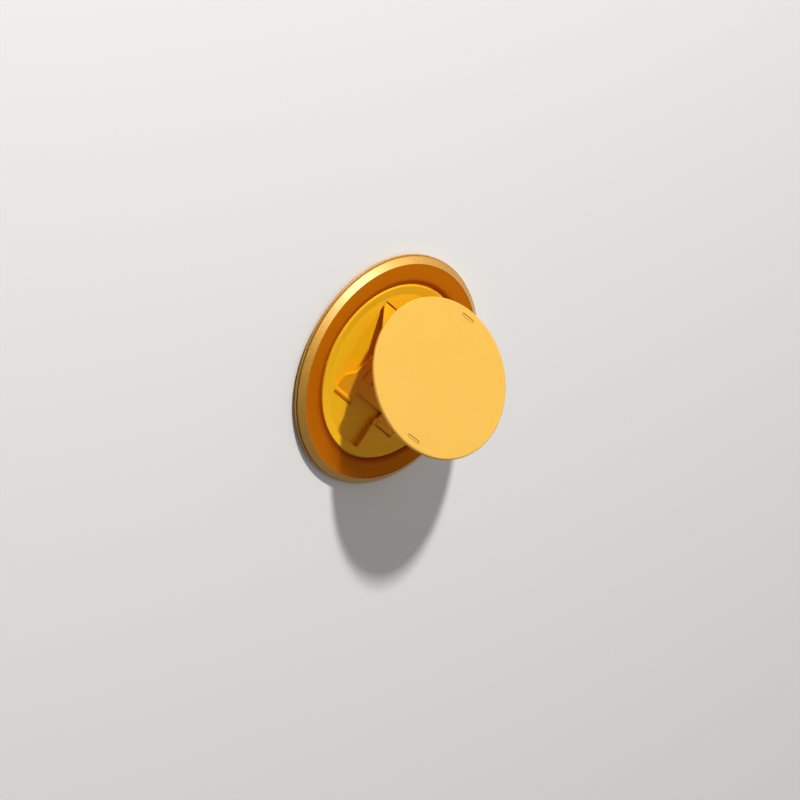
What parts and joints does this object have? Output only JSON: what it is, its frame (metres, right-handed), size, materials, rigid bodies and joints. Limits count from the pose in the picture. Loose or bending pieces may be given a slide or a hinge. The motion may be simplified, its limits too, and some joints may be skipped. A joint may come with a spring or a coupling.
{
  "type": "phone grip",
  "caption": "Magnetic phone grip: a metal ring with a turning tray and a round grip disc that stands up on two crossed folding legs.",
  "frame": {"origin": "middle of the face that meets the phone", "axes": "+Z out of the phone's back, X along the hinge pins, +Y towards the upper leg's hinge"},
  "size_m": [0.061, 0.061, 0.0259],
  "materials": {
    "anodised_ring": "bead-blasted and anodised gold-orange",
    "yellow_plastic": "fine matt moulding, warm yellow",
    "pale_yellow_plastic": "fine matt moulding, lighter yellow",
    "soft_pad": "soft matt",
    "cover_plastic": "matt",
    "yoke_steel": "plain",
    "magnet_plating": "nickel plated",
    "pin_steel": "ground"
  },
  "bodies": {
    "ring": {"contact_pad": "soft_pad", "back_cover": "cover_plastic", "bezel_ring": "anodised_ring", "magnet_yoke": "yoke_steel", "magnet_01": "magnet_plating", "magnet_02": "magnet_plating", "magnet_03": "magnet_plating", "magnet_04": "magnet_plating", "magnet_05": "magnet_plating", "magnet_06": "magnet_plating", "magnet_07": "magnet_plating", "magnet_08": "magnet_plating", "magnet_09": "magnet_plating", "magnet_10": "magnet_plating", "magnet_11": "magnet_plating", "magnet_12": "magnet_plating", "magnet_13": "magnet_plating", "magnet_14": "magnet_plating", "magnet_15": "magnet_plating", "magnet_16": "magnet_plating"},
    "tray": {"base_tray": "yellow_plastic", "lower_hinge_pin_left": "pin_steel", "lower_hinge_pin_right": "pin_steel", "upper_hinge_pin_left": "pin_steel", "upper_hinge_pin_right": "pin_steel"},
    "upper_leg_body": {"upper_leg": "yellow_plastic"},
    "disc": {"grip_disc": "pale_yellow_plastic", "ball_seat_clip": "pale_yellow_plastic", "slide_pad": "pale_yellow_plastic"},
    "lower_leg_body": {"lower_leg": "yellow_plastic"}
  },
  "joints": [
    {"name": "tray_swivel", "type": "hinge", "parent": "ring", "child": "tray", "pos_m": [0, 0, 0], "axis": [0, 0, 1], "continuous": true},
    {"name": "leg_fold", "type": "hinge", "parent": "tray", "child": "upper_leg_body", "pos_m": [0, 0.012, 0.0017], "axis": [1, 0, 0], "range_deg": [0, 34.26]},
    {"name": "disc_turn", "type": "hinge", "parent": "upper_leg_body", "child": "disc", "pos_m": [-0.002, -0.01317, 0.01921], "axis": [-0.5329, 0.845, -0.0439], "range_deg": [-0.01, 25.99]},
    {"name": "lower_leg_fold", "type": "hinge", "parent": "tray", "child": "lower_leg_body", "pos_m": [0, -0.0122, 0.0016], "axis": [-1, 0, 0], "range_deg": [-0.01, 13.92]}
  ],
  "couplings": [
    {"joint": "disc_turn", "follows": "leg_fold", "ratio": 0.75816},
    {"joint": "lower_leg_fold", "follows": "leg_fold", "ratio": 0.40591}
  ]
}
